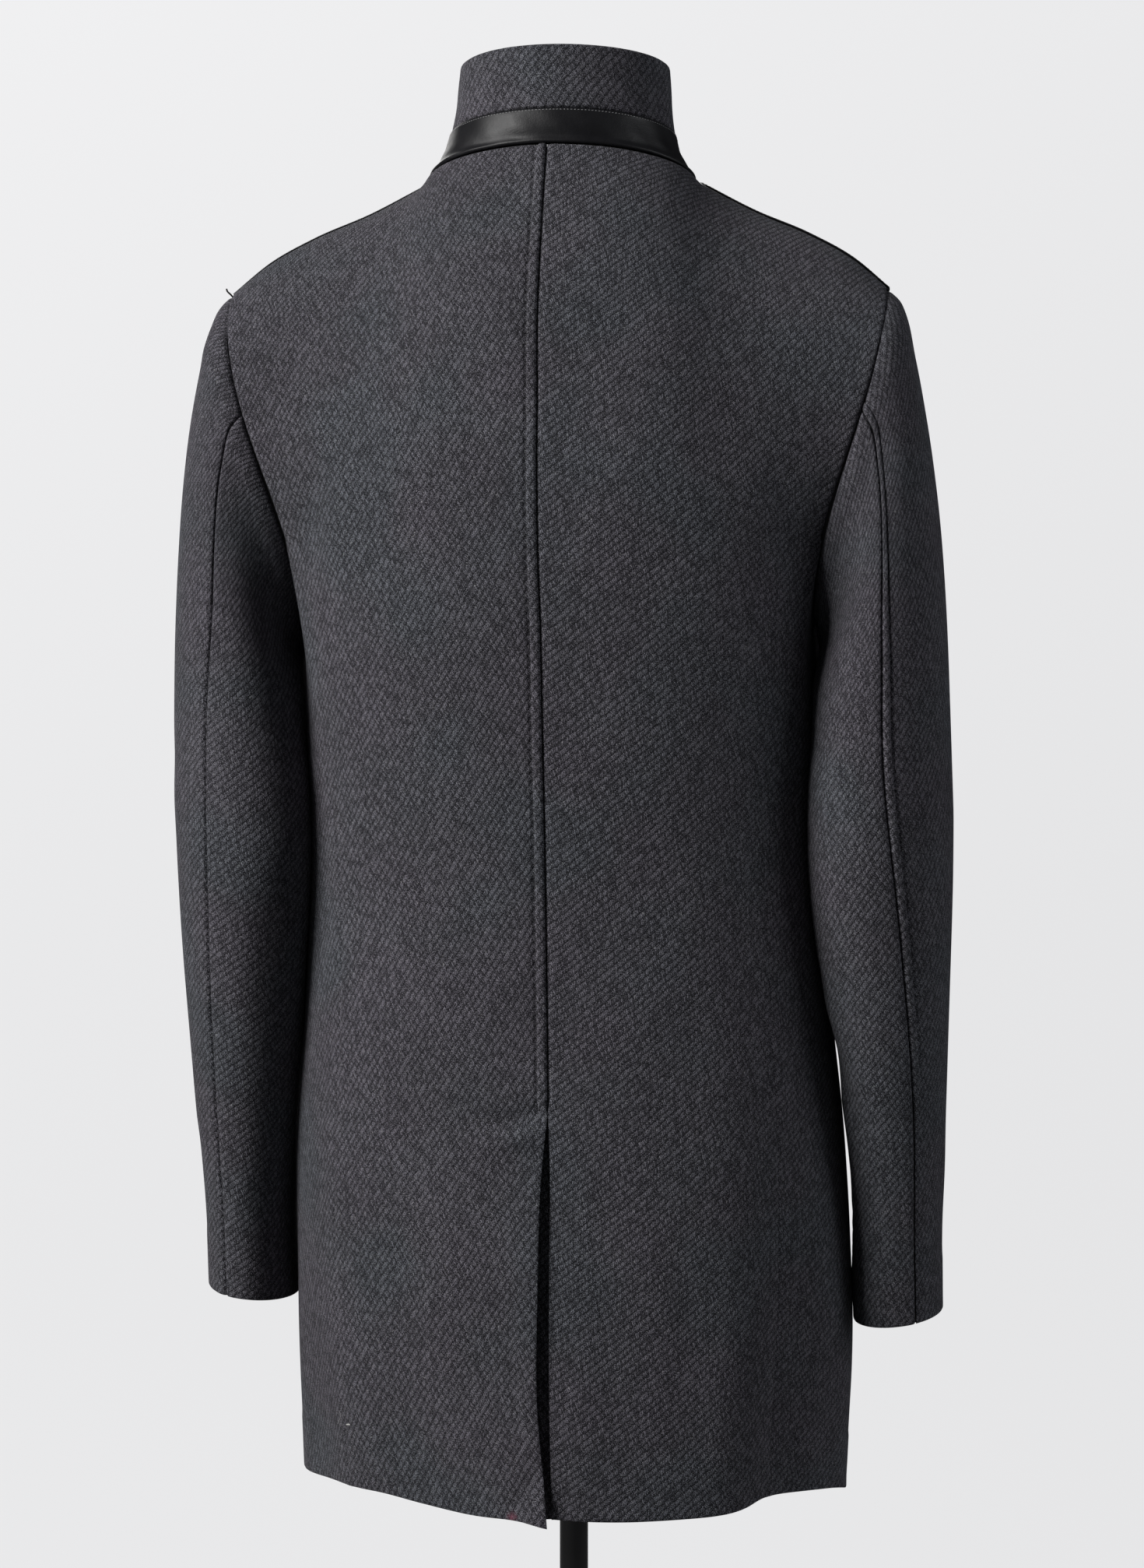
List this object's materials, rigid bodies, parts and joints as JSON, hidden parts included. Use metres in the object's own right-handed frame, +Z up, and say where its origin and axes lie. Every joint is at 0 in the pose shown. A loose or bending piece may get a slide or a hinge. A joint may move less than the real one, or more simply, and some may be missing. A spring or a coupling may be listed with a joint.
{
  "type": "long coat on a dress form stand",
  "caption": "Three-quarter wool coat with a stand collar, leather neck band, centre back vent and side flaps, worn by a limbless dress form on a round pole stand.",
  "frame": {"origin": "centre of the stand base's underside, on the floor", "axes": "+Z up along the pole; the coat's front faces -Y and the wearer's left is +X"},
  "size_m": [0.5183, 0.35, 1.5725],
  "materials": {
    "wool": "charcoal diagonal twill wool with pale flecks, matt and slightly fuzzy",
    "leather": "smooth black leather, half matt",
    "horn": "dark horn-like, polished",
    "form_cover": "plain smooth cotton cover",
    "stand_metal": "black satin paint"
  },
  "bodies": {
    "root": {"back_left": "wool", "back_right": "wool", "front_left": "wool", "front_right": "wool", "sleeve_left_top": "wool", "sleeve_left_under": "wool", "sleeve_right_top": "wool", "sleeve_right_under": "wool", "collar": "wool", "pocket_flap_left": "wool", "pocket_flap_right": "wool", "collar_band": "leather", "shoulder_strip_left": "leather", "shoulder_strip_right": "leather", "button_1": "horn", "button_2": "horn", "button_3": "horn", "button_4": "horn", "form_torso": "form_cover", "stand_pole": "stand_metal", "stand_base": "stand_metal"}
  },
  "joints": []
}
